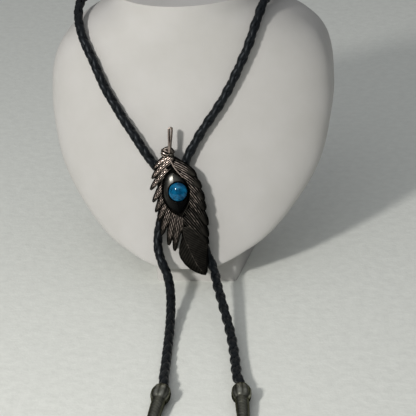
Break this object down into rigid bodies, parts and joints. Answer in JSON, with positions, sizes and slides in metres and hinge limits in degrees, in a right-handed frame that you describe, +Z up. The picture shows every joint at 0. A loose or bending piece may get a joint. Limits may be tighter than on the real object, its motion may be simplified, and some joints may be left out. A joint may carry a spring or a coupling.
{
  "type": "bolo tie on a neck bust",
  "caption": "Bolo tie with a cast feather slide, a round turquoise stone in its eye, a braided black cord and tapered metal tips, hung on a plain white neck bust.",
  "frame": {"origin": "middle of the foot's flat underside, on the floor", "axes": "+Z up, the bust and the slide face -Y, +X to the right as seen from the front"},
  "size_m": [0.158, 0.2777, 0.151],
  "materials": {
    "bust_white": "smooth satin white",
    "antique_pewter": "cast pewter with a dark antique finish, rubbed bright on its ridges",
    "polished_pewter": "polished, dark gunmetal",
    "turquoise": "polished, mottled blue",
    "black_leather": "round braid of four strands, slight sheen"
  },
  "bodies": {
    "root": {"neck_bust": "bust_white", "feather_slide": "antique_pewter", "eye_setting": "polished_pewter", "turquoise_stone": "turquoise", "cord_clasp": "antique_pewter", "braided_cord": "black_leather", "tip_left": "antique_pewter", "tip_right": "antique_pewter"}
  },
  "joints": []
}
